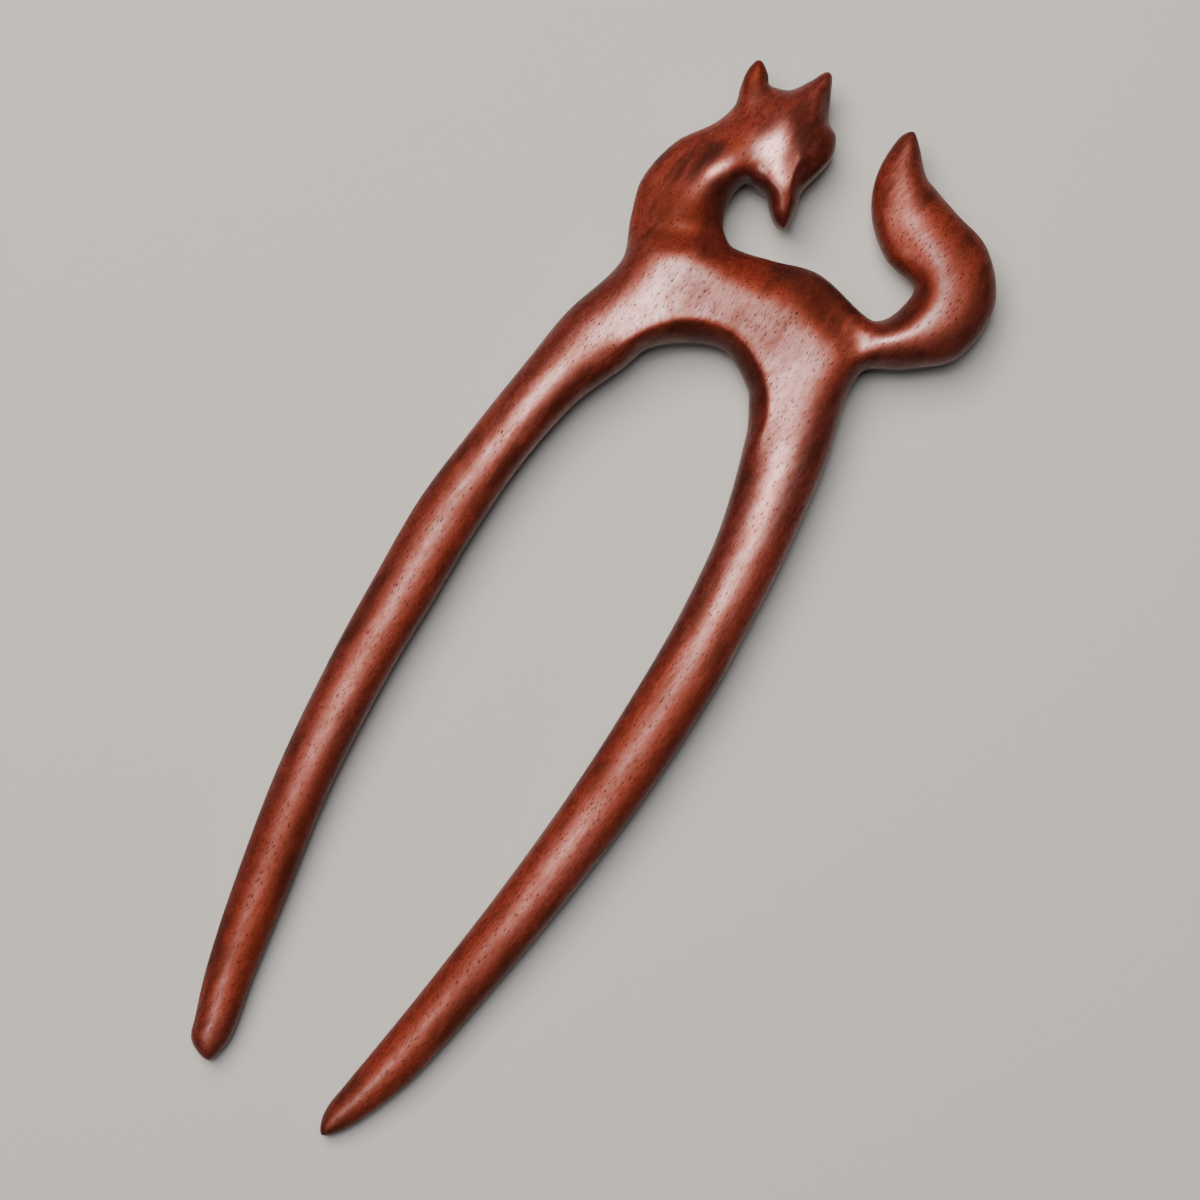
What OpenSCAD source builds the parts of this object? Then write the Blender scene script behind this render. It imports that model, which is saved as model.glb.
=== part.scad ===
// Hair fork carved from one board of hardwood: a beast whose legs are the two prongs.
// The board lies flat: X runs across towards the tail, Y runs along towards the head, Z is its thickness.
// Eight limbs meet at three hubs. Each limb has a ridge, and sections along it with a left and a right edge.
// The outline is one smooth closed curve through all the edges. Ribs run from it in to the ridge and rise
// as a round or flat-topped section, over and under, so that the whole fork is one closed skin.

/* [Prongs] */
// Length of the fore prong, from the shoulder to its tip
fore_l = 109.3; // [80:0.1:150]
// How far the fore prong bows out from the shoulder
fore_bow = 9; // [4:0.1:14]
// Length of the hind prong, from the rump to its tip
hind_l = 110.7; // [80:0.1:150]
// How far the tip of the hind prong leans in from the rump
hind_lean = 9.8; // [4:0.1:14]
// Width of each prong
prong_w = 7.8; // [5:0.1:10]
// Thickness of each prong
prong_t = 7.2; // [5:0.1:9]

/* [Body] */
// Distance between the shoulder and the rump
stance = 23.4; // [18:0.1:32]
// Height of the body, from the arch between the prongs to the back
body_h = 12; // [9:0.1:15]
// Thickness of the body, which is the board's own
body_t = 9.6; // [7:0.1:14]

/* [Neck] */
// Height of the brow above the shoulder
neck_l = 19; // [16:0.1:26]
// How far the brow lies towards the tail from the shoulder
neck_lean = 4.4; // [2:0.1:7]
// Width of the neck over the chest
neck_w = 11; // [8:0.1:13]
// Thickness of the neck
neck_t = 9.4; // [6:0.1:12]

/* [Head] */
// Width of the head from the outer ear to the cheek
head_w = 13; // [10:0.1:16]
// Thickness of the head at the brow
head_t = 9.2; // [6:0.1:12]
// Height of the taller ear's tip above the brow
ear_l = 10.4; // [8:0.1:14]
// Width of each ear
ear_w = 5; // [3:0.1:6]
// Drop of the nose below the brow
muzzle_l = 8.7; // [6:0.1:11]
// Reach of the nose towards the tail from the brow
muzzle_reach = 5.9; // [4:0.1:8]
// Width of the muzzle
muzzle_w = 4; // [2.5:0.1:5]

/* [Tail] */
// Height of the tail's tip above the rump
tail_h = 28; // [22:0.1:36]
// How far the ridge of the tail swings out from the rump
tail_swing = 8.7; // [6:0.1:12]
// Width of the tail over its belly
tail_w = 11; // [7:0.1:13]
// Thickness of the tail over its belly
tail_t = 9; // [6:0.1:12]

/* [Hidden] */

// Rings from the outline to the ridge, and steps in each quarter of a tip
ring_count = 8;
tip_steps = 3;

// Columns of the section tables. Run and sway place the ridge as shares of the limb's length and swing.
// Left and right are the distances to the edges, seen from the hub, as shares of the limb's width.
// Thick is a share of its thickness. Settle is 0 at the board's middle height and 1 flat on the ground.
// Full is the power of the section's curve, 2 for an ellipse, and flat is the share of each rib left level.
// The last row of a limb with a free end is its tip.
run = 0;
sway = 1;
left = 2;
right = 3;
thick = 4;
settle = 5;
full = 6;
flat = 7;

fore_rows = [
    [0.106, 0.35, 0.53, 0.56, 1.20, 0.05, 2.2, 0.10],
    [0.170, 0.56, 0.49, 0.49, 1.12, 0.10, 2.1, 0.00],
    [0.262, 0.79, 0.46, 0.46, 1.05, 0.20, 2.0, 0.00],
    [0.354, 0.93, 0.49, 0.49, 1.00, 0.30, 2.0, 0.00],
    [0.445, 0.97, 0.48, 0.48, 0.97, 0.42, 2.0, 0.00],
    [0.537, 1.00, 0.455, 0.455, 0.94, 0.55, 2.0, 0.00],
    [0.675, 0.945, 0.43, 0.43, 0.88, 0.75, 2.0, 0.00],
    [0.812, 0.745, 0.41, 0.41, 0.78, 0.95, 2.0, 0.00],
    [0.904, 0.58, 0.365, 0.365, 0.68, 1.00, 2.0, 0.00],
    [0.959, 0.44, 0.32, 0.32, 0.56, 1.00, 2.0, 0.00],
    [0.983, 0.38, 0.27, 0.26, 0.46, 1.00, 2.0, 0.00],
    [1.000, 0.28, 0, 0, 0, 1.00, 2.0, 0.00]
];
hind_rows = [
    [0.114, 0.00, 0.63, 0.63, 1.20, 0.05, 2.2, 0.10],
    [0.213, -0.165, 0.545, 0.545, 1.10, 0.15, 2.0, 0.00],
    [0.303, -0.215, 0.515, 0.515, 1.04, 0.25, 2.0, 0.00],
    [0.394, -0.205, 0.515, 0.515, 1.00, 0.36, 2.0, 0.00],
    [0.529, -0.087, 0.49, 0.49, 0.95, 0.55, 2.0, 0.00],
    [0.665, 0.128, 0.45, 0.45, 0.88, 0.75, 2.0, 0.00],
    [0.800, 0.405, 0.41, 0.41, 0.78, 0.95, 2.0, 0.00],
    [0.890, 0.62, 0.375, 0.375, 0.68, 1.00, 2.0, 0.00],
    [0.944, 0.80, 0.30, 0.30, 0.54, 1.00, 2.0, 0.00],
    [0.981, 0.944, 0.20, 0.20, 0.40, 1.00, 2.0, 0.00],
    [1.000, 1.00, 0, 0, 0, 1.00, 2.0, 0.00]
];
body_rows = [
    [0.285, 0.03, 0.446, 0.515, 1, 0, 3.0, 0.35],
    [0.480, 0.067, 0.475, 0.465, 1, 0, 3.0, 0.35],
    [0.710, 0.058, 0.59, 0.67, 1, 0, 3.0, 0.35]
];
neck_rows = [
    [0.416, -0.375, 0.495, 0.50, 1.00, 0, 2.4, 0.10],
    [0.626, -0.205, 0.455, 0.40, 1.00, 0, 2.2, 0.00],
    [0.810, 0.18, 0.375, 0.355, 0.98, 0, 2.2, 0.00]
];
outer_ear_rows = [
    [0.470, -0.365, 0.40, 0.27, 0.62, 0, 2.2, 0.00],
    [0.577, -0.410, 0.28, 0.23, 0.40, 0, 2.0, 0.00],
    [0.740, -0.438, 0, 0, 0, 0, 2.0, 0.00]
];
tall_ear_rows = [
    [0.558, 0.115, 0.52, 0.70, 0.62, 0, 2.2, 0.00],
    [0.800, 0.145, 0.32, 0.33, 0.40, 0, 2.0, 0.00],
    [1.000, 0.154, 0, 0, 0, 0, 2.0, 0.00]
];
muzzle_rows = [
    [0.613, 0.66, 0.65, 0.375, 0.70, 0, 2.0, 0.00],
    [0.810, 0.865, 0.40, 0.34, 0.48, 0, 2.0, 0.00],
    [1.000, 1.00, 0, 0, 0, 0, 2.0, 0.00]
];
tail_rows = [
    [0.179, 0.632, 0.295, 0.295, 0.86, 0, 2.0, 0.00],
    [0.311, 0.943, 0.39, 0.435, 0.94, 0, 2.0, 0.00],
    [0.464, 1.000, 0.43, 0.455, 0.98, 0, 2.2, 0.00],
    [0.571, 0.736, 0.44, 0.455, 1.00, 0, 2.2, 0.00],
    [0.643, 0.253, 0.50, 0.40, 0.93, 0, 2.2, 0.00],
    [0.718, -0.161, 0.41, 0.355, 0.80, 0, 2.1, 0.00],
    [0.807, -0.420, 0.26, 0.28, 0.62, 0, 2.0, 0.00],
    [0.914, -0.534, 0.16, 0.16, 0.40, 0, 2.0, 0.00],
    [1.000, -0.557, 0, 0, 0, 0, 2.0, 0.00]
];

// Hubs where limbs meet
shoulder = [0, 0];
rump = [stance, 0];
brow = [neck_lean, neck_l];
// Their rows: place, no edges, half thickness, height of the middle, full and flat
mid_z = body_t / 2;
hubs = [
    [shoulder[0], shoulder[1], 0, 0, body_t / 2, mid_z, 2.8, 0.25],
    [rump[0], rump[1], 0, 0, body_t / 2, mid_z, 2.6, 0.25],
    [brow[0], brow[1], 0, 0, head_t / 2, mid_z, 2.4, 0.10]
];

// A limb's rows at their real places, in the same columns; toward is its heading and aside its sway
function placed(rows, hub, toward, aside, length, swing, width, thickness) = [
    for (r = rows)
        let (p = hub + toward * r[run] * length + aside * r[sway] * swing)
        let (half = r[thick] * thickness / 2)
        [p[0], p[1], r[left] * width, r[right] * width, half,
         (1 - r[settle]) * mid_z + r[settle] * half, r[full], r[flat]]
];

down = [0, -1];
up = [0, 1];
ahead = [1, 0];
behind = [-1, 0];

// Each limb: hub it starts from, hub it ends in or -1 for a free end, ridge steps between two rows, and rows
limbs = [
    [0, -1, 3, concat([hubs[0]],
        placed(fore_rows, shoulder, down, behind, fore_l, fore_bow, prong_w, prong_t))],
    [1, -1, 3, concat([hubs[1]],
        placed(hind_rows, rump, down, behind, hind_l, hind_lean, prong_w, prong_t))],
    [0, 1, 4, concat([hubs[0]],
        placed(body_rows, shoulder, ahead, up, stance, body_h, body_h, body_t), [hubs[1]])],
    [0, 2, 4, concat([hubs[0]],
        placed(neck_rows, shoulder, up, ahead, neck_l, neck_lean, neck_w, neck_t), [hubs[2]])],
    [2, -1, 5, concat([hubs[2]],
        placed(outer_ear_rows, brow, up, ahead, ear_l, head_w, ear_w, head_t))],
    [2, -1, 5, concat([hubs[2]],
        placed(tall_ear_rows, brow, up, ahead, ear_l, head_w, ear_w, head_t))],
    [2, -1, 5, concat([hubs[2]],
        placed(muzzle_rows, brow, down, ahead, muzzle_l, muzzle_reach, muzzle_w, head_t))],
    [1, -1, 4, concat([hubs[1]],
        placed(tail_rows, rump, up, ahead, tail_h, tail_swing, tail_w, tail_t))]
];
fore = 0;
hind = 1;
body = 2;
neck = 3;
outer_ear = 4;
tall_ear = 5;
muzzle = 6;
tail = 7;

function hub_of(l) = limbs[l][0];
function end_hub(l) = limbs[l][1];
function steps(l) = limbs[l][2];
function rows_of(l) = limbs[l][3];
function place_of(row) = [row[0], row[1]];
function span_count(l) = len(rows_of(l)) - (end_hub(l) < 0 ? 2 : 1);

// A smooth curve through p1 and p2 at t from 0 to 1, with its slopes set by the points beside them
function glide(p0, p1, p2, p3, t) =
    let (d = norm(p2 - p1))
    let (d0 = norm(p1 - p0), d3 = norm(p3 - p2))
    let (m1 = (p2 - p0) * d / max(d + d0, 0.001), m2 = (p3 - p1) * d / max(d + d3, 0.001))
    let (t2 = t * t, t3 = t * t * t)
    p1 * (2 * t3 - 3 * t2 + 1) + m1 * (t3 - 2 * t2 + t) + p2 * (3 * t2 - 2 * t3) + m2 * (t3 - t2);
function ease(a, b, t) = a + (b - a) * t * t * (3 - 2 * t);

// Ridge point k of limb l: place, half thickness and middle height
function ridge_point(l, k) =
    let (rows = rows_of(l), r = min(floor(k / steps(l)), span_count(l) - 1), t = k / steps(l) - r)
    let (p1 = place_of(rows[r]), p2 = place_of(rows[r + 1]))
    let (p0 = r > 0 ? place_of(rows[r - 1]) : p1, p3 = r + 2 < len(rows) ? place_of(rows[r + 2]) : p2)
    let (p = glide(p0, p1, p2, p3, t))
    [p[0], p[1], ease(rows[r][4], rows[r + 1][4], t), ease(rows[r][5], rows[r + 1][5], t)];

// Numbers of the ridge points: the hubs first, then each limb's own
function own_count(l) = span_count(l) * steps(l) - (end_hub(l) < 0 ? 0 : 1);
function first_id(l) = l == 0 ? len(hubs) : first_id(l - 1) + own_count(l - 1);
first_ids = [for (l = [0:len(limbs) - 1]) first_id(l)];
function ridge_id(l, k) =
    k == 0 ? hub_of(l) : (end_hub(l) >= 0 && k == span_count(l) * steps(l)) ? end_hub(l) : first_ids[l] + k - 1;
ridge = concat(
    [for (h = hubs) [h[0], h[1], h[4], h[5]]],
    [for (l = [0:len(limbs) - 1]) for (k = [1:own_count(l)]) ridge_point(l, k)]
);

// Edge of a row: left for side 1 and right for side -1, square to the ridge
function unit(v) = v / norm(v);
function edge_point(l, r, side) =
    let (rows = rows_of(l), p = place_of(rows[r]))
    let (d = unit(unit(place_of(rows[r + 1]) - p) + unit(p - place_of(rows[r - 1]))))
    p + side * [-d[1], d[0]] * (side > 0 ? rows[r][left] : rows[r][right]);

// Stations of the outline: place, full, flat, then the limb and the ridge points that its next stretch starts
// and ends at. Out runs from the hub to the end, and back runs from the end to the hub. Both start at the
// nooks beside the hub.
function nook_stations(nooks, l, hub_k, next_k) = [
    for (i = [0:len(nooks) - 1])
        let (h = hubs[hub_k == 0 ? hub_of(l) : end_hub(l)])
        [nooks[i][0], nooks[i][1], h[full], h[flat], l, hub_k, i < len(nooks) - 1 ? hub_k : next_k]
];
function out(l, nooks) = concat(
    nook_stations(nooks, l, 0, steps(l)),
    [for (r = [1:len(rows_of(l)) - 2])
        let (e = edge_point(l, r, 1), row = rows_of(l)[r])
        [e[0], e[1], row[full], row[flat], l, r * steps(l), min(r + 1, span_count(l)) * steps(l)]]
);
function back(l, nooks) = concat(
    end_hub(l) >= 0 ? nook_stations(nooks, l, span_count(l) * steps(l), (span_count(l) - 1) * steps(l)) :
        let (tip = rows_of(l)[len(rows_of(l)) - 1], k = span_count(l) * steps(l))
        [[tip[0], tip[1], tip[full], tip[flat], l, k, k]],
    [for (r = [len(rows_of(l)) - 2:-1:1])
        let (e = edge_point(l, r, -1), row = rows_of(l)[r])
        [e[0], e[1], row[full], row[flat], l, r * steps(l), (r - 1) * steps(l)]]
);

// Carving on the head, the same over and under. Each row is a groove or a swell along a line: its two ends
// from the brow as shares of the head's width and the ear's length, how far it spreads as a share of the
// ear's width, and how much it adds to the half thickness as a share of the head's.
start_x = 0;
start_y = 1;
end_x = 2;
end_y = 3;
spread = 4;
gain = 5;
carving = [
    [0.33, 0.02, 0.43, -0.44, 0.20, -0.30],
    [0.42, 0.26, 0.45, 0.08, 0.30, 0.10],
    [0.26, 0.80, 0.38, 0.47, 0.18, -0.22],
    [-0.38, 0.66, -0.30, 0.55, 0.14, -0.14]
];
function gap_to_line(p, a, b) = norm(p - a - (b - a) * min(1, max(0, (p - a) * (b - a) / ((b - a) * (b - a)))));
function carved(p) =
    let (parts = [
        for (c = carving)
            let (a = brow + [c[start_x] * head_w, c[start_y] * ear_l], b = brow + [c[end_x] * head_w, c[end_y] * ear_l])
            c[gain] * head_t / 2 * exp(-pow(gap_to_line(p, a, b) / (c[spread] * ear_w), 2))
    ])
    parts * [for (i = parts) 1];

// Nooks and swells between neighbouring limbs, as shares of the sizes around them
chest = [[-0.42 * neck_w, -0.17 * body_h], [-0.555 * neck_w, 0.26 * body_h]];
ear_nook = [brow + [-0.46 * head_w, 0.16 * ear_l]];
notch = [brow + [-0.215 * head_w, 0.553 * ear_l]];
cheek = [brow + [0.465 * head_w, 0.42 * ear_l], brow + [0.545 * head_w, 0.15 * ear_l]];
throat = [brow + [0.20 * muzzle_reach, -0.67 * muzzle_l]];
nape = [[0.41 * neck_w, 0.57 * body_h]];
tail_nook = [rump + [0.15 * tail_swing, 0.495 * body_h]];
rump_nook = [rump + [0.42 * prong_w, -0.03 * body_h]];
hind_arch = [rump + [-0.745 * prong_w, -0.80 * body_h]];
fore_arch = [[0.41 * prong_w, -0.71 * body_h]];

// Once round the outline, clockwise from above
stations = concat(
    out(fore, fore_arch), back(fore),
    out(neck, chest),
    out(outer_ear, ear_nook), back(outer_ear),
    out(tall_ear, notch), back(tall_ear),
    out(muzzle, cheek), back(muzzle),
    back(neck, throat),
    out(body, nape),
    out(tail, tail_nook), back(tail),
    out(hind, rump_nook), back(hind),
    back(body, hind_arch)
);

// Samples of the outline: place, number of the ridge point at the rib's foot, full and flat
function station(i) = stations[(i + len(stations)) % len(stations)];
samples = [
    for (i = [0:len(stations) - 1])
        let (a = station(i), b = station(i + 1), l = a[4], from = a[5], to = a[6])
        let (count = from == to ? tip_steps : abs(to - from))
        for (j = [0:count - 1])
            let (t = j / count)
            let (p = glide(place_of(station(i - 1)), place_of(a), place_of(b), place_of(station(i + 2)), t))
            [p[0], p[1], ridge_id(l, from + (to - from) * t), a[2] + (b[2] - a[2]) * t, a[3] + (b[3] - a[3]) * t]
];

// Rise of a rib: 0 at the outline and 1 at the ridge, where f is the share of the way in
function section(f, power, level) = pow(1 - pow(1 - min(1, f / (1 - level)), power), 1 / power);
// Share of the way in of ring k, closer together at the outline where the section is steep
function ring_share(k) = 1 - cos(90 * k / ring_count);

sample_count = len(samples);
ridge_count = len(ridge);
// Point of ring k on the upper side, 1, or the under side, -1
function rib_point(i, k, side) =
    let (s = samples[i], c = ridge[s[2]], f = ring_share(k))
    let (p = place_of(s) + (place_of(c) - place_of(s)) * f)
    [p[0], p[1], c[3] + side * (c[2] + carved(p)) * section(f, s[3], s[4])];

points = concat(
    [for (i = [0:sample_count - 1]) rib_point(i, 0, 1)],
    [for (side = [1, -1]) for (k = [1:ring_count - 1]) for (i = [0:sample_count - 1]) rib_point(i, k, side)],
    [for (side = [1, -1]) for (c = ridge) [c[0], c[1], c[3] + side * (c[2] + carved(place_of(c)))]]
);
// The origin lies on the ground under the middle of the outline's box
function all_of(axis) = [for (p = points) p[axis]];
origin = [
    (min(all_of(0)) + max(all_of(0))) / 2,
    (min(all_of(1)) + max(all_of(1))) / 2,
    min(all_of(2))
];

// Number of a point: ring k of sample i, over for half 0 and under for half 1; the last ring is the ridge
function point_id(i, k, half) =
    k == 0 ? i % sample_count :
    k == ring_count ? sample_count * (2 * ring_count - 1) + half * ridge_count + samples[i % sample_count][2] :
    sample_count * (1 + half * (ring_count - 1) + k - 1) + i % sample_count;

faces = [
    for (half = [0, 1]) for (k = [0:ring_count - 1]) for (i = [0:sample_count - 1])
        let (a = point_id(i, k, half), b = point_id(i + 1, k, half))
        let (c = point_id(i + 1, k + 1, half), d = point_id(i, k + 1, half))
        for (f = c == d ? [[a, b, c]] : [[a, b, c], [a, c, d]]) half == 0 ? f : [f[2], f[1], f[0]]
];

module hair_fork() {
    color("#8a3a22") translate(-origin) polyhedron(points, faces, 4);
}

hair_fork();
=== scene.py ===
import math

import bpy
import numpy as np
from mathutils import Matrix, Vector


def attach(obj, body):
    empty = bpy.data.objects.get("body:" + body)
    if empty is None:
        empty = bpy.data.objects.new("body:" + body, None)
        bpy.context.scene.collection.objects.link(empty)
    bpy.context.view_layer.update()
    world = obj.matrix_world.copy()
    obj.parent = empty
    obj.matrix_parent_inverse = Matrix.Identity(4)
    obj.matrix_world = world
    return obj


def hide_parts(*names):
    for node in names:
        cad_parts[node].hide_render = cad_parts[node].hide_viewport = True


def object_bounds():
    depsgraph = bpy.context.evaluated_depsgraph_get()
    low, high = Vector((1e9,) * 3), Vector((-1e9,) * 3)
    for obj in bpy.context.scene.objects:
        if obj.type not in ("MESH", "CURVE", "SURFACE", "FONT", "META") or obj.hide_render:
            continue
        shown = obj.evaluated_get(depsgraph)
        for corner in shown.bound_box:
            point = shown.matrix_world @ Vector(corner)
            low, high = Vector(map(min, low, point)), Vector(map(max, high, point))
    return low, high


# A hair fork carved from one blank of red hardwood, lying flat: the prongs point to -Y, the head and tail
# to +Y. Lengths in the tables are millimetres, and the meshes are metres.
mm = 0.001

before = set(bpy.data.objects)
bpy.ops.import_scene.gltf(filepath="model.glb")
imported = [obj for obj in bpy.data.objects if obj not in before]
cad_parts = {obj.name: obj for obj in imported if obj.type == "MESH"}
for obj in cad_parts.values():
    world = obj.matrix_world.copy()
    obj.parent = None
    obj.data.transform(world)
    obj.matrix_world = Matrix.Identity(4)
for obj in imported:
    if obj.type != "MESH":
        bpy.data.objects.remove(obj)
cadBox = [[float(v) for v in corner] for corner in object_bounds()]
print("frame loaded:", ", ".join(sorted(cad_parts)))

fork = {
    "shoulder": (-12.29, 40.65),  # where the shoulder lies in the frame
    "foreLength": 109.3, "foreBow": 9.0, "hindLength": 110.7, "hindLean": 9.8,
    "prongWidth": 7.8, "prongThick": 7.2,
    "stance": 23.4, "bodyHeight": 12.0, "bodyThick": 9.6,
    "neckLength": 19.0, "neckLean": 4.4, "neckWidth": 11.0, "neckThick": 9.4,
    "headWidth": 13.0, "headThick": 9.2, "earLength": 10.4, "earWidth": 5.0,
    "muzzleLength": 8.7, "muzzleReach": 5.9, "muzzleWidth": 4.0,
    "tailHeight": 28.0, "tailSwing": 8.7, "tailWidth": 11.0, "tailThick": 9.0,
    "rings": 31,  # steps from the outline in to the ridge
    "crowding": 1.5,  # above 1, the rings crowd at the outline, where the section is steep
    "tipSteps": 9,  # steps of the outline round a tip or a corner
    "strokeSteps": 6,  # steps of a knife stroke between two of its points
    "melt": 2.0,  # how far the limbs' thickness melts together
    "leastDepth": 0.02,  # the least depth that a ridge is taken to have
    "sanded": 0.27,  # how softly the tops go over into the blank's flat faces
    "wobble": 0.02,  # how far the knife and sandpaper left the surface uneven
    "waves": [(0.9, 0.35, 0.0), (-0.3, 0.62, 1.7), (0.5, -1.05, 4.0)],  # its waves: across, along, start
    "inset": 0.004,  # kept inside the solid's own box
}

# Rows across a limb: run and sway place the ridge, as shares of the limb's length and swing; left and right
# are the distances to the edges and thick the thickness, as shares of the limb's own; settle is 0 at the
# blank's middle height and 1 flat on the ground; round is 1 for a round section and less for a flatter top.
columns = ["run", "sway", "left", "right", "thick", "settle", "round"]
foreRows = [
    [0.106, 0.35, 0.65, 0.56, 1.20, 0.05, 0.65],
    [0.170, 0.56, 0.49, 0.49, 1.12, 0.10, 0.65],
    [0.262, 0.79, 0.46, 0.46, 1.05, 0.20, 0.65],
    [0.354, 0.93, 0.49, 0.49, 1.00, 0.30, 0.65],
    [0.445, 0.97, 0.48, 0.48, 0.97, 0.42, 0.65],
    [0.537, 1.00, 0.455, 0.455, 0.94, 0.55, 0.65],
    [0.675, 0.945, 0.43, 0.43, 0.88, 0.75, 0.75],
    [0.812, 0.745, 0.41, 0.41, 0.79, 0.95, 0.85],
    [0.904, 0.58, 0.365, 0.365, 0.70, 1.00, 0.9],
    [0.959, 0.44, 0.32, 0.32, 0.60, 1.00, 0.9],
    [0.983, 0.39, 0.27, 0.26, 0.50, 1.00, 0.9],
    [1.000, 0.28, 0, 0, 0, 1.00, 0.65],
]
hindRows = [
    [0.114, 0.00, 0.63, 0.66, 1.20, 0.05, 0.65],
    [0.213, -0.165, 0.545, 0.545, 1.10, 0.15, 0.65],
    [0.303, -0.215, 0.515, 0.515, 1.04, 0.25, 0.65],
    [0.394, -0.205, 0.515, 0.515, 1.00, 0.36, 0.65],
    [0.529, -0.087, 0.49, 0.49, 0.95, 0.55, 0.65],
    [0.665, 0.128, 0.45, 0.45, 0.88, 0.75, 0.75],
    [0.800, 0.405, 0.41, 0.41, 0.79, 0.95, 0.85],
    [0.890, 0.62, 0.375, 0.375, 0.70, 1.00, 0.9],
    [0.944, 0.80, 0.30, 0.30, 0.57, 1.00, 0.9],
    [0.981, 0.944, 0.20, 0.20, 0.43, 1.00, 0.9],
    [1.000, 1.00, 0, 0, 0, 1.00, 0.65],
]
bodyRows = [
    [0.285, 0.03, 0.446, 0.585, 1.00, 0, 0.7],
    [0.480, 0.067, 0.475, 0.53, 1.00, 0, 0.7],
    [0.700, 0.058, 0.59, 0.745, 1.01, 0, 0.7],
]
neckRows = [
    [0.416, -0.375, 0.495, 0.50, 0.82, 0, 0.9],
    [0.626, -0.205, 0.455, 0.40, 0.93, 0, 0.8],
    [0.810, 0.18, 0.375, 0.355, 0.97, 0, 0.75],
]
outerEarRows = [
    [0.470, -0.365, 0.40, 0.30, 0.56, 0, 0.8],
    [0.596, -0.420, 0.25, 0.27, 0.46, 0, 0.8],
    [0.722, -0.447, 0.10, 0.10, 0.32, 0, 0.8],
    [0.745, -0.451, 0, 0, 0.24, 0, 0.8],
]
tallEarRows = [
    [0.558, 0.115, 0.52, 0.70, 0.64, 0, 0.8],
    [0.800, 0.145, 0.26, 0.33, 0.46, 0, 0.8],
    [0.965, 0.159, 0.115, 0.115, 0.32, 0, 0.8],
    [1.000, 0.157, 0, 0, 0.24, 0, 0.8],
]
muzzleRows = [
    [0.613, 0.66, 0.65, 0.375, 0.84, 0, 0.7],
    [0.760, 0.83, 0.44, 0.36, 0.76, 0, 0.7],
    [0.920, 0.965, 0.25, 0.22, 0.60, 0, 0.7],
    [0.990, 1.045, 0, 0, 0.45, 0, 0.7],
]
tailRows = [
    [0.179, 0.632, 0.295, 0.295, 0.92, 0, 0.85],
    [0.311, 0.943, 0.39, 0.435, 0.92, 0, 0.8],
    [0.464, 1.000, 0.43, 0.455, 0.93, 0, 0.75],
    [0.571, 0.736, 0.44, 0.455, 0.92, 0, 0.75],
    [0.643, 0.253, 0.50, 0.40, 0.86, 0, 0.8],
    [0.718, -0.161, 0.41, 0.355, 0.72, 0, 0.85],
    [0.807, -0.420, 0.26, 0.28, 0.54, 0, 0.9],
    [0.955, -0.545, 0.115, 0.115, 0.30, 0, 0.9],
    [1.000, -0.557, 0, 0, 0.10, 0, 0.9],
]

# The hubs that limbs meet in: a named thickness, the half thickness as a share of it, and the roundness
hubShapes = {
    "shoulder": ["bodyThick", 0.50, 0.7],
    "rump": ["bodyThick", 0.51, 0.7],
    "brow": ["headThick", 0.50, 0.8],
}

# The limbs: the hub that each starts from, the hub it ends in or None for a tip, ridge steps between two of
# its rows, the way it heads and the way it sways, the sizes that stand for its length, swing, width and
# thickness, and its rows
down, up, ahead, behind = (0, -1), (0, 1), (1, 0), (-1, 0)
limbs = {
    "fore": ["shoulder", None, 12, down, behind,
             ["foreLength", "foreBow", "prongWidth", "prongThick"], foreRows],
    "hind": ["rump", None, 12, down, behind,
             ["hindLength", "hindLean", "prongWidth", "prongThick"], hindRows],
    "body": ["shoulder", "rump", 15, ahead, up,
             ["stance", "bodyHeight", "bodyHeight", "bodyThick"], bodyRows],
    "neck": ["shoulder", "brow", 17, up, ahead,
             ["neckLength", "neckLean", "neckWidth", "neckThick"], neckRows],
    "outerEar": ["brow", None, 21, up, ahead,
                 ["earLength", "headWidth", "earWidth", "headThick"], outerEarRows],
    "tallEar": ["brow", None, 21, up, ahead,
                ["earLength", "headWidth", "earWidth", "headThick"], tallEarRows],
    "muzzle": ["brow", None, 21, down, ahead,
               ["muzzleLength", "muzzleReach", "muzzleWidth", "headThick"], muzzleRows],
    "tail": ["rump", None, 15, up, ahead,
             ["tailHeight", "tailSwing", "tailWidth", "tailThick"], tailRows],
}

# Once round the outline, clockwise: a limb, out along its left side or back along its right one, and the
# corners of the nook that comes before it, each from a hub as a share of one size ahead and of one up
walk = [
    ["fore", "out", [("shoulder", 0.41, "prongWidth", -0.80, "bodyHeight")]],
    ["fore", "back", []],
    ["neck", "out", [("shoulder", -0.42, "neckWidth", -0.17, "bodyHeight"),
                     ("shoulder", -0.555, "neckWidth", 0.26, "bodyHeight")]],
    ["outerEar", "out", [("brow", -0.46, "headWidth", 0.16, "earLength")]],
    ["outerEar", "back", []],
    ["tallEar", "out", [("brow", -0.215, "headWidth", 0.553, "earLength")]],
    ["tallEar", "back", []],
    ["muzzle", "out", [("brow", 0.495, "headWidth", 0.385, "earLength"),
                       ("brow", 0.5515, "headWidth", 0.12, "earLength")]],
    ["muzzle", "back", []],
    ["neck", "back", [("brow", 0.20, "muzzleReach", -0.67, "muzzleLength")]],
    ["body", "out", [("shoulder", 0.41, "neckWidth", 0.57, "bodyHeight")]],
    ["tail", "out", [("rump", 0.15, "tailSwing", 0.495, "bodyHeight")]],
    ["tail", "back", []],
    ["hind", "out", [("rump", 0.42, "prongWidth", -0.03, "bodyHeight")]],
    ["hind", "back", []],
    ["body", "back", [("rump", -0.83, "prongWidth", -0.83, "bodyHeight")]],
]

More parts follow.
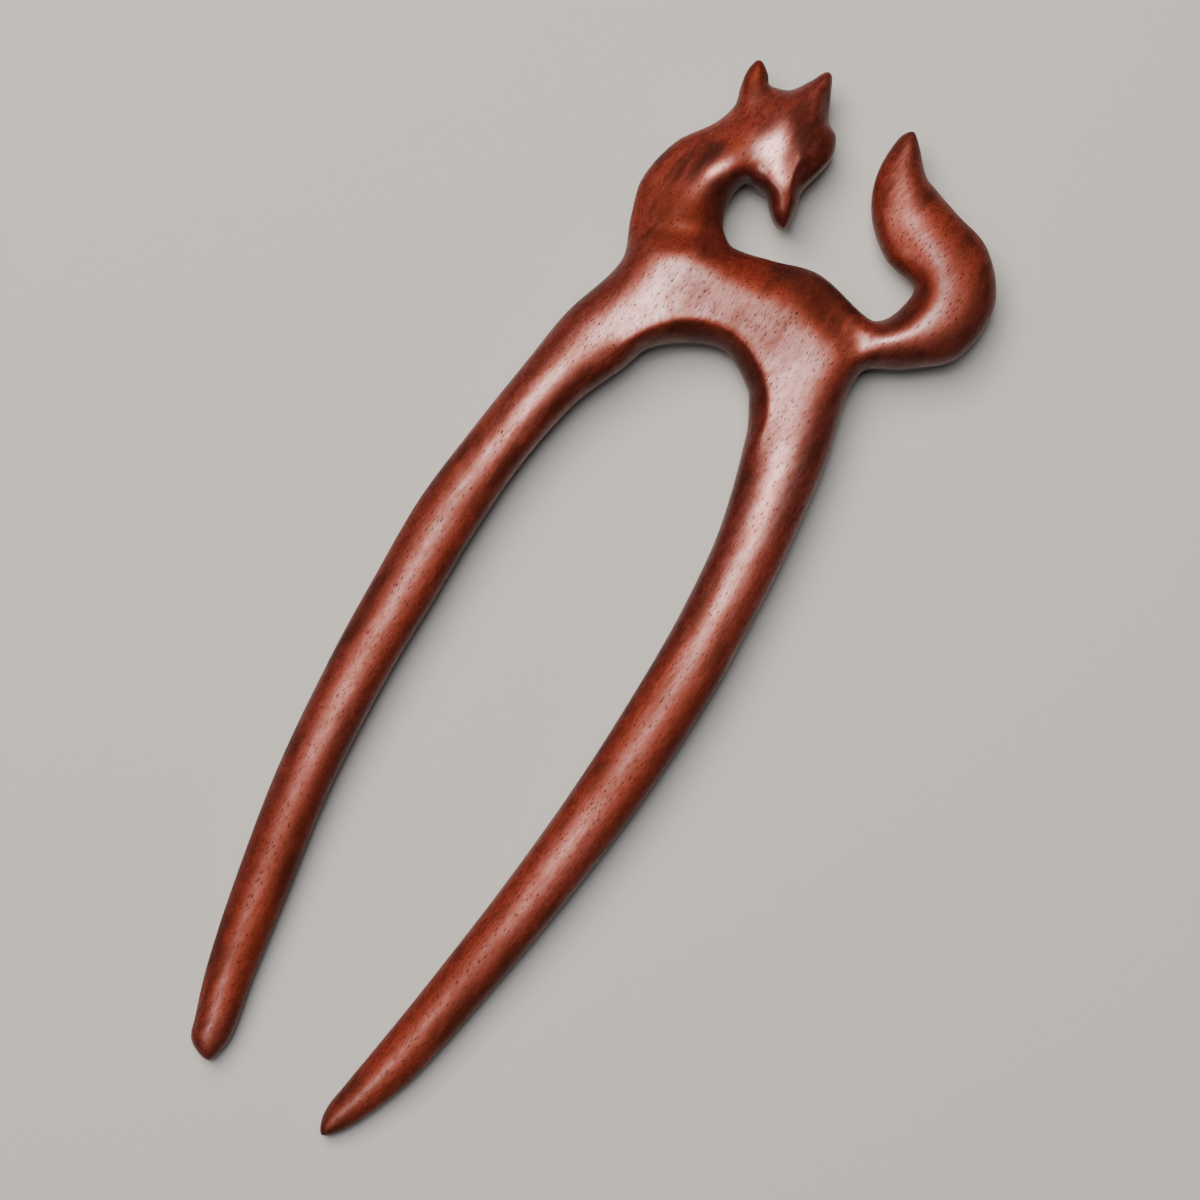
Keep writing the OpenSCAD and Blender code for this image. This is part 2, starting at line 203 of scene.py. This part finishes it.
# Knife work, the same over and under: a stroke's line seen from above, how far it reaches to each side, how
# much it adds to the half thickness, and its power, 1 for a crisp edge or crease and 2 for a soft one
knifeWork = [
    [[(-7.8, 63.0), (-6.6, 59.0), (-6.0, 57.0), (-4.6, 55.2)], 2.4, 0.35, 2.0],  # forehead, top of the muzzle
    [[(-9.3, 53.0), (-8.4, 54.2), (-7.2, 54.6), (-5.7, 54.5), (-4.8, 53.3), (-3.9, 52.2)],
     0.9, 0.55, 1.2],  # edge of the throat
    [[(-15.0, 57.0), (-13.0, 59.5), (-11.2, 62.0), (-12.4, 65.0)], 2.4, -0.50, 2.0],  # back of the head
    [[(-12.6, 52.4), (-11.0, 54.0)], 2.3, 0.45, 2.0],  # nape
    [[(-18.0, 43.6), (-13.6, 44.4), (-9.4, 46.4)], 2.4, -1.15, 2.0],  # foot of the neck
    [[(-18.0, 44.5), (-18.0, 50.0), (-16.0, 54.5)], 3.2, -0.80, 2.0],  # chest
    [[(-3.8, 59.0), (-3.8, 57.6), (-3.5, 56.0), (-2.8, 54.3), (-2.2, 52.7)], 0.7, 0.30, 1.2],  # muzzle's edge
    [[(-2.4, 58.5), (-2.1, 56.5)], 1.0, -0.35, 2.0],  # cheek
    [[(-4.6, 67.5), (-3.9, 66.0), (-3.2, 65.0)], 0.8, -0.50, 2.0],  # hollow of the tall ear
    [[(-12.5, 66.6), (-11.6, 65.4)], 0.5, -0.40, 2.0],  # hollow of the outer ear
    [[(-11.6, 30.0), (-9.4, 33.4), (-7.0, 35.6), (-4.9, 36.6), (-2.9, 37.0), (0.1, 36.8), (3.1, 35.3),
      (5.6, 33.0), (7.1, 30.0), (7.1, 27.5), (6.0, 25.0)], 1.3, 0.68, 1.5],  # edge of the arch
    [[(-7.0, 47.2), (-1.0, 47.0), (4.5, 47.6), (8.6, 45.4), (12.0, 43.6)], 2.8, -1.00, 2.0],  # along the back
    [[(14.6, 52.9), (13.1, 53.7), (11.6, 54.4), (10.1, 55.0), (7.5, 58.0)],
     0.9, 0.40, 1.3],  # inside edge of the tail
]


# Where the hubs lie: the rump is the stance ahead of the shoulder, and the brow is at the end of the neck
def hubPlaces():
    shoulder = np.array(fork["shoulder"])
    return {"shoulder": shoulder, "rump": shoulder + [fork["stance"], 0],
            "brow": shoulder + [fork["neckLean"], fork["neckLength"]]}


# The limb's rows at their places: x, y, left, right, half thickness, middle height, roundness.
# The place is the hub, plus the heading times run, plus the direction aside times sway.
def placeRows(rows, hub, heading, aside, length, swing, width, thick):
    t = dict(zip(columns, np.array(rows, float).T))
    places = np.array(hub) + np.outer(t["run"] * length, heading) + np.outer(t["sway"] * swing, aside)
    half = t["thick"] * thick / 2
    mid = (1 - t["settle"]) * fork["bodyThick"] / 2 + t["settle"] * half
    return np.column_stack([places, t["left"] * width, t["right"] * width, half, mid, t["round"]])


# Every limb's rows in the same columns, with the row of the hub it starts from before them and the row of the
# hub it ends in after them
def placeLimbs(hubs):
    mid = fork["bodyThick"] / 2
    hubRows = {name: [*hubs[name], 0, 0, share * fork[thick], mid, roundness]
               for name, (thick, share, roundness) in hubShapes.items()}
    placed = {}
    for name, (startHub, endHub, _, heading, aside, sizes, rows) in limbs.items():
        own = placeRows(rows, hubs[startHub], heading, aside, *(fork[size] for size in sizes))
        ends = [hubRows[endHub]] if endHub else []
        placed[name] = np.vstack([hubRows[startHub], own, *ends])
    return placed


# Points on the smooth curve through b and c at the shares t: a cubic whose slope at b is the way from a to c
# times this stretch's share of its length, and whose slope at c is the same of the way from b to d. The tiny
# length keeps points in one place from dividing by 0.
def glide(a, b, c, d, t, tiny=1e-6):
    before, here, after = (np.linalg.norm(q[:2] - p[:2]) for p, q in ((a, b), (b, c), (c, d)))
    slopeB = (c - a) * here / max(here + before, tiny)
    slopeC = (d - b) * here / max(here + after, tiny)
    t = np.asarray(t)[:, None]
    return (b * (2 * t**3 - 3 * t**2 + 1) + slopeB * (t**3 - 2 * t**2 + t)
            + c * (3 * t**2 - 2 * t**3) + slopeC * (t**3 - t**2))


# Shares along a stretch that leave a hub or a tip slowly: t squared times 2 - t from one end, t squared times
# 3 - 2t from both
def easedShares(count, fromStart, fromEnd):
    t = np.arange(1, count + 1) / count
    if fromStart and fromEnd:
        return t**2 * (3 - 2 * t)
    if fromEnd:
        return 1 - (1 - t) ** 2 * (1 + t)
    return t**2 * (2 - t) if fromStart else t


# Unit vectors across each inner row's ridge, to the left: the mean heading of the two stretches, turned
def acrossRidge(rows):
    steps = np.diff(rows[:, :2], axis=0)
    steps /= np.linalg.norm(steps, axis=1)[:, None]
    heading = steps[1:] + steps[:-1]
    heading /= np.linalg.norm(heading, axis=1)[:, None]
    return np.column_stack([-heading[:, 1], heading[:, 0]])


# The ridges: the hubs first, then each limb's own points on the smooth curve through its rows, as far as the
# row before a tip. Each is a place, half thickness, middle height and roundness. Beside them are, for each
# limb, the numbers of its points from the hub on.
def runRidges(placed):
    crests = {name: rows[:, [0, 1, 4, 5, 6]] for name, rows in placed.items()}
    starts = {limbs[name][0]: crest[0] for name, crest in crests.items()}
    hubNumbers = {hub: number for number, hub in enumerate(hubShapes)}
    ridge = [starts[hub] for hub in hubShapes]
    numbers = {}
    for name, crest in crests.items():
        startHub, endHub, steps = limbs[name][:3]
        spans = len(crest) - (1 if endHub else 2)
        padded = np.vstack([crest[:1], crest, crest[-1:]])
        points = np.vstack([glide(*padded[i:i + 4], easedShares(steps, i == 0, i == spans - 1))
                            for i in range(spans)])
        if endHub:
            points = points[:-1]
        ends = [hubNumbers[endHub]] if endHub else []
        numbers[name] = np.array([hubNumbers[startHub], *range(len(ridge), len(ridge) + len(points)), *ends])
        ridge.extend(points)
    return np.array(ridge), numbers


# Stations of the outline along one side of a limb: a place, and the ridge steps where the ribs of the stretch
# after it start and end. First come the nook's corners, or else the tip, and then the rows' edges, which are
# the ridge's place plus or minus the unit vector across it times the distance to that side.
def sideStations(rows, steps, last, outward, corners):
    if outward:
        here, there, side, column = 0, steps, 1, 2
        order = range(1, len(rows) - 1)
    else:
        here, there, side, column = last, last - steps, -1, 3
        order = range(len(rows) - 2, 0, -1)
    if not corners:
        corners, there = [rows[-1, :2]], last
    stations = [(corner, here, here) for corner in corners[:-1]] + [(corners[-1], here, there)]
    across = acrossRidge(rows)
    for r in order:
        edge = rows[r, :2] + side * across[r - 1] * rows[r, column]
        stations.append((edge, r * steps, min((r + side) * steps, last)))
    return stations


# The outline, a smooth closed curve through the stations, with as many samples between two of them as the
# ridge has there, and the number of the ridge point at the foot of each sample's rib
def walkOutline(placed, numbers, hubs):
    stations = []
    for name, way, nook in walk:
        corners = [hubs[hub] + [x * fork[wide], y * fork[tall]] for hub, x, wide, y, tall in nook]
        own = numbers[name]
        side = sideStations(placed[name], limbs[name][2], len(own) - 1, way == "out", corners)
        stations += [(*station, own) for station in side]
    places = np.array([station[0] for station in stations])
    outline, feet = [], []
    for i, (_, start, end, own) in enumerate(stations):
        count = abs(end - start) or fork["tipSteps"]
        t = np.arange(count) / count
        outline.append(glide(*(places[(i + j) % len(places)] for j in (-1, 0, 1, 2)), t))
        feet.append(own[np.rint(start + (end - start) * t).astype(int)])
    return np.vstack(outline), np.concatenate(feet)


# The ridge's own values at each place, averaged so that limbs melt into each other at the hubs: a weight is e
# to the minus squared distance over the melt squared. Some places are done at once, to save memory.
def nearRidge(places, ridge, atOnce=4000):
    found = []
    for some in np.array_split(places, len(places) // atOnce + 1):
        gap = ((some[:, None] - ridge[None, :, :2]) ** 2).sum(axis=2)
        weight = np.exp(-(gap - gap.min(axis=1, keepdims=True)) / fork["melt"] ** 2)
        found.append(weight @ ridge[:, 2:] / weight.sum(axis=1, keepdims=True))
    return np.vstack(found).T


# Soft depth inside an outline: 2 over the sum, around the place, of 1 over the distance to the edge. Near an
# edge it is the distance itself, and across a strip it is a parabola, so its root is a round section. Each
# side of the outline adds the tangent of half the angle that it spans, times 1/r at both its ends.
def softDepth(places, outline, atOnce=1500):
    found = []
    for some in np.array_split(places, len(places) // atOnce + 1):
        x, y = ((outline[:, axis] - some[:, axis, None]).astype(np.float32) for axis in (0, 1))
        r = np.sqrt(x * x + y * y)
        nextX, nextY, nextR = (np.roll(v, -1, axis=1) for v in (x, y, r))
        halfAngle = (x * nextY - y * nextX) / (r * nextR + x * nextX + y * nextY)
        found.append(2 / np.abs((halfAngle * (1 / r + 1 / nextR)).sum(axis=1)))
    return np.concatenate(found)


# What the knife work adds at each place: each stroke's depth times e to the minus distance over reach, to the
# stroke's power
def knifeDepth(places):
    total = np.zeros(len(places))
    for line, reach, depth, power in knifeWork:
        near = np.full(len(places), np.inf)
        corners = np.array([line[0], *line, line[-1]], float)
        shares = np.arange(fork["strokeSteps"]) / fork["strokeSteps"]
        bends = [glide(*corners[i:i + 4], shares) for i in range(len(line) - 1)]
        curve = np.vstack(bends + [line[-1]])
        for start, end in zip(curve[:-1], curve[1:]):
            along = end - start
            share = np.clip((places - start) @ along / (along @ along), 0, 1)
            near = np.minimum(near, np.linalg.norm(places - start - share[:, None] * along, axis=1))
        total += depth * np.exp(-(near / reach) ** power)
    return total


# The middle height at each place, and the rise over and under it. The rise is the half thickness plus the
# knife work, times the depth as a share of the ridge's own, to the power of half the roundness. The blank's
# flat faces stop what would stand past them: it is the soft least of that and half the blank.
def risesAt(places, ridge, outline):
    depth = softDepth(places, outline)
    ridge = np.column_stack([ridge, depth[-len(ridge):]])
    half, mid, roundness, ridgeDepth = nearRidge(places, ridge)
    share = depth / np.maximum(ridgeDepth, fork["leastDepth"])
    rise = (half + knifeDepth(places)) * share ** (roundness / 2)
    face, soft = fork["bodyThick"] / 2 - fork["inset"], fork["sanded"]
    return mid, np.minimum(rise, face) - np.log1p(np.exp(-np.abs(rise - face) / soft)) * soft


# Faces between each ring of vertex numbers and the next one in. Where two ribs share a foot on the ridge, the
# quad is a triangle, and the under side's faces are turned round.
def stitchRings(rings, over):
    faces = []
    for outer, inner in zip(rings[:-1], rings[1:]):
        a, b, c, d = outer, np.roll(outer, -1), np.roll(inner, -1), inner
        whole = c != d
        quads = np.column_stack([a, b, c, d] if over else [d, c, b, a])
        triangles = np.column_stack([a, b, c] if over else [c, b, a])
        faces += quads[whole].tolist() + triangles[~whole].tolist()
    return faces


# What the uneven hand adds to the heights: the mean of slow waves, times the share of the blank's half
# thickness that the place is over or under the middle
def unevenHand(points):
    x, y, z = points.T
    wave = sum(np.sin(x * across + y * along + start) for across, along, start in fork["waves"])
    mid = fork["bodyThick"] / 2
    return fork["wobble"] * wave / len(fork["waves"]) * np.clip((z - mid) / mid, -1, 1)


# The whole fork: the outline, then the places over and the same ones under. A place lies on a rib, at a share
# of the way from the outline to the ridge: the ring's number over their count, to the power of the crowding.
# The ridge points come last.
def carveFork():
    hubs = hubPlaces()
    placed = placeLimbs(hubs)
    ridge, numbers = runRidges(placed)
    outline, feet = walkOutline(placed, numbers, hubs)
    count, n = fork["rings"], len(outline)
    shares = (np.arange(1, count) / count)[:, None, None] ** fork["crowding"]
    places = (outline + (ridge[feet, :2] - outline) * shares).reshape(-1, 2)
    places = np.vstack([places, ridge[:, :2]])
    mid, rise = risesAt(places, ridge, outline)
    points = np.vstack([np.column_stack([outline, nearRidge(outline, ridge)[1]]),
                        np.column_stack([places, mid + rise]), np.column_stack([places, mid - rise])])

    # Rings of vertex numbers, over and under: the outline, the rings inside it and the ridge
    faces = []
    for over, first in ((True, n), (False, n + len(places))):
        rings = [np.arange(n)] + [first + k * n + np.arange(n) for k in range(count - 1)]
        faces += stitchRings(rings + [first + (count - 1) * n + feet], over)

    points[:, 2] += unevenHand(points)
    low, high = np.array(cadBox) / mm + [[fork["inset"]], [-fork["inset"]]]
    points = np.clip(points, low, high)

    mesh = bpy.data.meshes.new("hairForkSkin")
    mesh.from_pydata((points * mm).tolist(), [], faces)
    mesh.update()
    mesh.shade_smooth()
    piece = bpy.data.objects.new("carvedFork", mesh)
    bpy.context.scene.collection.objects.link(piece)
    print("fork carved:", len(points), "vertices,", sum(len(f) - 2 for f in faces), "triangles")
    return piece


wood = {
    "grainTurn": 7.5,  # the grain leans this far from the fork's length, clockwise, degrees
    "wander": 3.0,  # and wanders this far to the side
    "red": (0.061, 0.0074, 0.0054), "orange": (0.110, 0.0130, 0.0068), "maroon": (0.016, 0.0040, 0.0035),
    "veinDark": 0.45, "patchDark": 0.78, "darkest": 0.88,  # shares of maroon, and the most of it
    "toneShadeFade": (0.3, 1.3), "dullFade": (0.3, 1.2),  # where they fade out, as shares of their reach
    "shade": [0.30, 0.45, 0.38, 0.65],  # brightness: evenly, and what mottle, fibres and specks add
    "poreColour": (0.005, 0.002, 0.0015), "poreDark": 0.95,
    "poreWide": 0.26, "poreLong": 1.05,  # the cells that pores lie in
    "poreShare": 0.90, "poreCrowd": 2.2,  # the share of cells with a pore, and how far it goes up and down
    "poreEdge": 0.02, "poreFaint": 0.45,  # softness of that choice, and the faintest pore's strength
    "relief": 0.04, "reliefStrength": 0.35, "fibreRelief": 0.12,  # a pore's depth, and a fibre's share of it
    "roughness": 0.48, "speckRough": 0.12, "poreRough": 0.40, "wornRough": 0.18,
    "shine": 0.42, "shineTint": (1.0, 0.16, 0.06),
    "oil": 0.34, "oilRoughness": 0.355,
    "oilStreaks": [0.35, 0.50, 0.45, 0.35],  # its gloss: evenly, and what mottle, fibres and specks add
    "darkDulls": 0.55,  # the share of the oil's gloss that maroon takes away
}

# The wood's figure: waves a millimetre across, along and through the grain, the noise's detail and roughness
figure = {
    "wander": [0.05, 0.03, 0.05, 1.0, 0.5],
    "zones": [0.15, 0.028, 0.12, 2.0, 0.5],
    "patches": [0.34, 0.10, 0.30, 2.0, 0.6],
    "veins": [0.95, 0.055, 0.7, 3.0, 0.6],
    "fibres": [5.5, 0.28, 4.5, 4.0, 0.7],
    "mottle": [1.5, 0.6, 1.5, 3.0, 0.65],
    "specks": [7.0, 2.2, 7.0, 2.0, 0.7],
    "crowds": [0.30, 0.12, 0.3, 1.0, 0.5],
}

# Where each layer starts and where it is whole, as levels of its noise. A pore is whole up to the first and
# gone at the second, as distances from its cell's middle.
levels = {
    "zones": (0.36, 0.64), "patches": (0.48, 0.66), "veins": (0.50, 0.70), "fibres": (0.30, 0.70),
    "mottle": (0.34, 0.66), "specks": (0.32, 0.68), "oilSpecks": (0.30, 0.70), "pores": (0.12, 0.34),
}

# Places painted darker or lighter than the wood's own pattern makes them. Most are painted shade on sides and
# walls that face away from the light, or painted light on sides that face it, and a few are the wood's own
# tone. Columns: the middle of a place, its reach across and along, and how much it adds to the dark, less
# than 0 for lighter
tonesAndPaintedShade = [
    [4.5, 46.8, 7.5, 2.6, 0.75],  # along the back, painted shade on the side away from the light
    [-12.8, 48.0, 3.2, 5.5, 0.60],  # front of the neck, painted shade on the side away from the light
    [-14.4, 46.0, 2.4, 3.0, 0.50],  # foot of the neck
    [-18.0, 46.5, 2.6, 5.0, -0.60],  # chest, painted light on the lit side
    [-12.0, 53.0, 4.0, 4.0, 0.35],  # throat side of the neck, painted shade
    [-2.0, 34.8, 8.0, 2.0, 0.60],  # wall under the arch, painted shade
    [4.6, 30.5, 2.0, 5.0, 0.60],  # wall at the hind prong, painted shade
    [-3.0, 61.0, 2.6, 4.0, 0.30],  # cheek, painted shade on the side away from the light
    [22.0, 52.0, 3.5, 6.0, 0.35],  # outside of the tail, painted shade
    [8.5, 57.5, 3.0, 5.0, -0.50],  # inside of the tail, painted light on the lit side
    [-12.6, 59.5, 3.5, 3.5, -0.60],  # back of the head, painted light on the lit side
    [-21.5, -43.0, 3.0, 14.0, -0.40],  # fore prong, toward the tip
    [-13.8, 66.6, 2.6, 3.6, 0.55],  # outer ear
    [6.6, 67.0, 2.6, 3.4, 0.45],  # tail's tip
]

# Where the finish is duller, in the same columns; the last one is the share of the oil that is worn off
dull = [
    [1.0, 41.0, 15.0, 8.0, 0.70],  # flat of the body
    [-13.2, 46.6, 4.5, 4.5, 0.88],  # neck
    [-10.4, 56.3, 2.6, 2.8, 0.90],  # jaw
    [-12.8, 52.8, 2.4, 3.0, -0.35],  # nape, polished
    [16.0, 55.5, 7.5, 9.5, 0.74],  # tail
    [-13.6, 66.4, 3.0, 4.0, 0.90],  # outer ear
    [-6.3, 58.4, 4.0, 4.5, -0.40],  # brow, polished
    [12.8, 23.0, 4.0, 9.0, -0.50],  # hind prong's root, polished
    [-21.0, -6.0, 8.0, 20.0, 0.38],  # middle of the fore prong
    [-18.5, -47.0, 10.0, 22.0, 0.62],  # lower half of the fore prong
    [12.5, -10.0, 8.0, 16.0, 0.55],  # middle of the hind prong
    [6.0, -52.0, 12.0, 26.0, 0.46],  # lower half of the hind prong
]


# One socket of a node tree. Operators add Math nodes, and node() adds any other kind.
class Wire:
    def __init__(self, tree, socket=None):
        self.tree, self.socket = tree, socket

    # A new node of any kind: its settings, the values or wires of its sockets, and the output that is wanted
    def node(self, kind, settings=(), inputs=(), output=0):
        made = self.tree.nodes.new(kind)
        for name, value in dict(settings).items():
            setattr(made, name, value)
        for name, value in dict(inputs).items():
            if isinstance(value, Wire):
                self.tree.links.new(value.socket, made.inputs[name])
            else:
                made.inputs[name].default_value = value
        return Wire(self.tree, made.outputs[output] if len(made.outputs) else None)

    def maths(self, operation, *values):
        return self.node("ShaderNodeMath", {"operation": operation}, dict(enumerate(values)))

    def vector(self, operation, inputs, output="Vector"):
        return self.node("ShaderNodeVectorMath", {"operation": operation}, inputs, output)

    # Another output of the same node
    def beside(self, output):
        return Wire(self.tree, self.socket.node.outputs[output])

    def __add__(self, other):
        return self.maths("ADD", self, other)

    def __radd__(self, other):
        return self.maths("ADD", other, self)

    def __sub__(self, other):
        return self.maths("SUBTRACT", self, other)

    def __rsub__(self, other):
        return self.maths("SUBTRACT", other, self)

    def __mul__(self, other):
        return self.maths("MULTIPLY", self, other)

    def __rmul__(self, other):
        return self.maths("MULTIPLY", other, self)

    # 0 below low and 1 above high, with a soft turn at both
    def between(self, low, high):
        return self.node("ShaderNodeMapRange", {"interpolation_type": "SMOOTHSTEP"},
                         {"Value": self, "From Min": low, "From Max": high})

    # The vector scaled along its three axes
    def scaled(self, x, y, z):
        return self.vector("MULTIPLY", {0: self, 1: (x, y, z)})

    # How far this place is from x, y in the frame, as a share of the reach across and along
    def beyond(self, x, y, across, along):
        offset = self.vector("SUBTRACT", {0: self, 1: (x * mm, y * mm, 0)})
        return self.vector("LENGTH", {0: offset.scaled(1 / (across * mm), 1 / (along * mm), 0)}, "Value")

    # Cloudy noise on this vector, in waves across, along and through the grain
    def clouds(self, across, along, through, detail, roughness):
        return self.node("ShaderNodeTexNoise", {"noise_dimensions": "3D"},
                         {"Vector": self.scaled(across, along, through), "Scale": 1.0, "Detail": detail,
                          "Roughness": roughness})

    # The first colour, a plain one or a wire, where this factor is 0, and the plain second one where it is 1.
    # Mix has sockets for each type of value: its colours are 6 and 7, and its colour output is 2.
    def mixing(self, first, second):
        first = first if isinstance(first, Wire) else (*first, 1)
        return self.node("ShaderNodeMix", {"data_type": "RGBA"}, {0: self, 6: first, 7: (*second, 1)}, 2)


# What a table's places add up to here: each counts whole near its middle, and fades out between two shares
# of its reach
def placesAdded(place, table, fade):
    total = 0
    for x, y, across, along, share in table:
        total = total + (1 - place.beyond(x, y, across, along).between(*fade)) * share
    return total


# The first share, plus each layer times its own
def layered(shares, *layers):
    total = shares[0]
    for share, layer in zip(shares[1:], layers):
        total = total + layer * share
    return total


# The oiled wood: red and orange zones, maroon by the sum of veins, patches and the painted places, which are
# mostly painted shade and painted light, brightness by mottle, fibres and specks, and a pore in most of the
# long cells along the grain
def redWood():
    material = bpy.data.materials.new("carvedHardwood")
    material.use_nodes = True
    tree = material.node_tree
    tree.nodes.clear()
    w = wood
    start = Wire(tree)
    place = start.node("ShaderNodeTexCoord", output="Object")
    # Millimetres, turned so that Y runs along the grain
    grain = start.node("ShaderNodeMapping", {},
                       {"Vector": place, "Rotation": (0, 0, math.radians(w["grainTurn"])),
                        "Scale": (1 / mm, 1 / mm, 1 / mm)})
    sway = (grain.clouds(*figure["wander"]) - 0.5) * w["wander"]
    grain = start.vector("ADD", {0: grain, 1: start.node("ShaderNodeCombineXYZ", {}, {"X": sway})})

    zones, patches, veins, fibres, mottle = (
        grain.clouds(*figure[name]).between(*levels[name])
        for name in ("zones", "patches", "veins", "fibres", "mottle"))
    specks = grain.clouds(*figure["specks"])
    cells = grain.scaled(1 / w["poreWide"], 1 / w["poreLong"], 1 / w["poreWide"])
    spot = start.node("ShaderNodeTexVoronoi", {"feature": "F1", "voronoi_dimensions": "3D"},
                      {"Vector": cells, "Scale": 1.0, "Randomness": 0.95}, "Distance")
    chance = start.node("ShaderNodeSeparateColor", {}, {"Color": spot.beside("Color")}, "Red")
    crowd = chance + (grain.clouds(*figure["crowds"]) - 0.5) * w["poreCrowd"]
    missing = crowd.between(w["poreShare"] - w["poreEdge"], w["poreShare"] + w["poreEdge"])
    strength = w["poreFaint"] + chance.beside("Green") * (1 - w["poreFaint"])
    pores = (1 - spot.between(*levels["pores"])) * (1 - missing) * strength

    # The maroon share: veins and patches, plus painted shade, and painted light where a place is lighter
    darkAndShade = veins * w["veinDark"] + patches * w["patchDark"] + placesAdded(place, tonesAndPaintedShade, w["toneShadeFade"])
    darkAndShade = start.node("ShaderNodeClamp", {}, {"Value": darkAndShade, "Max": w["darkest"]})
    shade = layered(w["shade"], mottle, fibres, specks.between(*levels["specks"]))
    base = darkAndShade.mixing(zones.mixing(w["red"], w["orange"]), w["maroon"])
    base = start.vector("SCALE", {0: base, "Scale": shade})
    base = (pores * w["poreDark"]).mixing(base, w["poreColour"])

    relief = fibres * w["fibreRelief"] - pores
    bump = start.node("ShaderNodeBump", {}, {"Height": relief, "Strength": w["reliefStrength"],
                                             "Distance": w["relief"] * mm})
    streaks = layered(w["oilStreaks"], mottle, fibres, specks.between(*levels["oilSpecks"]))
    worn = placesAdded(place, dull, w["dullFade"])
    oil = (1 - pores) * (1 - darkAndShade * w["darkDulls"]) * (1 - worn) * streaks * w["oil"]
    rough = w["roughness"] + (specks - 0.5) * w["speckRough"] + pores * w["poreRough"] + worn * w["wornRough"]
    shader = start.node("ShaderNodeBsdfPrincipled", {},
                        {"Base Color": base, "Roughness": rough, "Normal": bump,
                         "Specular IOR Level": w["shine"], "Specular Tint": (*w["shineTint"], 1),
                         "Coat Weight": oil, "Coat Roughness": w["oilRoughness"]})
    start.node("ShaderNodeOutputMaterial", {}, {"Surface": shader})
    return material


carvedFork = carveFork()
carvedFork.data.materials.append(redWood())
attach(carvedFork, "root")
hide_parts("hair_fork")
print("wood finished")

studio = {
    "floor": (0.46, 0.40, 0.345), "floorRough": 0.75, "floorSize": 12.0,  # metres
    "fill": 0.03, "fillColour": (1.0, 0.98, 0.96),
    "lookAt": (0.11, 2.05), "roll": 28.5, "cameraHeight": 420.0,
    "across": 142.5, "subjectHeight": 4.8,  # the picture's width, and the height that it is measured at
    "nearest": 0.01, "farthest": 20.0,  # what the camera sees, metres
}

# Softboxes: power, size and height in watts and metres, how far they stand from straight above in degrees,
# and where to, as shares of the picture's right and up. Each shows in the gloss alone, or lights the colour
# alone.
softboxes = {
    "gloss": {"power": 58.0, "size": 0.24, "height": 1.0, "lean": 9.0,
              "toward": (0.0, 1.0), "inGloss": True},
    "low": {"power": 14.0, "size": 0.26, "height": 1.0, "lean": 28.0,
            "toward": (-0.8, -0.6), "inGloss": True},
    "side": {"power": 19.0, "size": 0.7, "height": 0.9, "lean": 30.0,
             "toward": (-0.5, 0.87), "inGloss": False},
}


# A square floor at height 0
def layFloor():
    half = studio["floorSize"] / 2
    mesh = bpy.data.meshes.new("floorPlane")
    corners = [(-half, -half, 0), (half, -half, 0), (half, half, 0), (-half, half, 0)]
    mesh.from_pydata(corners, [], [(0, 1, 2, 3)])
    floor = bpy.data.objects.new("paleFloor", mesh)
    bpy.context.scene.collection.objects.link(floor)
    paint = bpy.data.materials.new("palePaint")
    paint.use_nodes = True
    shader = paint.node_tree.nodes["Principled BSDF"]
    shader.inputs["Base Color"].default_value = (*studio["floor"], 1)
    shader.inputs["Roughness"].default_value = studio["floorRough"]
    mesh.materials.append(paint)


# The softboxes, each facing the frame's middle from its height times the tangent of its lean off to the side,
# and a faint even fill
def hangLamps():
    roll = math.radians(studio["roll"])
    right, upward = np.array([math.cos(roll), math.sin(roll)]), np.array([-math.sin(roll), math.cos(roll)])
    for name, box in softboxes.items():
        reach = math.tan(math.radians(box["lean"])) * box["height"]
        x, y = (box["toward"][0] * right + box["toward"][1] * upward) * reach
        light = bpy.data.lights.new(name + "Softbox", "AREA")
        light.shape, light.size, light.energy = "SQUARE", box["size"], box["power"]
        lamp = bpy.data.objects.new(name + "Softbox", light)
        lamp.location = (x, y, box["height"])
        lamp.rotation_mode = "QUATERNION"
        lamp.rotation_quaternion = lamp.location.to_track_quat("Z", "Y")
        lamp.visible_glossy, lamp.visible_diffuse = box["inGloss"], not box["inGloss"]
        bpy.context.scene.collection.objects.link(lamp)

    world = bpy.data.worlds.new("softRoom")
    world.use_nodes = True
    sky = world.node_tree.nodes["Background"]
    sky.inputs["Color"].default_value = (*studio["fillColour"], 1)
    sky.inputs["Strength"].default_value = studio["fill"]
    bpy.context.scene.world = world


# The camera, looking straight down. Its focal length is the sensor's width times the distance to the fork,
# over the picture's width there.
def setCamera():
    s = studio
    lens = bpy.data.cameras.new("camera")
    lens.lens = lens.sensor_width * (s["cameraHeight"] - s["subjectHeight"]) / s["across"]
    lens.clip_start, lens.clip_end = s["nearest"], s["farthest"]
    camera = bpy.data.objects.new("camera", lens)
    camera.location = (s["lookAt"][0] * mm, s["lookAt"][1] * mm, s["cameraHeight"] * mm)
    camera.rotation_euler = (0, 0, math.radians(s["roll"]))
    bpy.context.scene.collection.objects.link(camera)
    bpy.context.scene.camera = camera


layFloor()
hangLamps()
setCamera()
print("studio set")
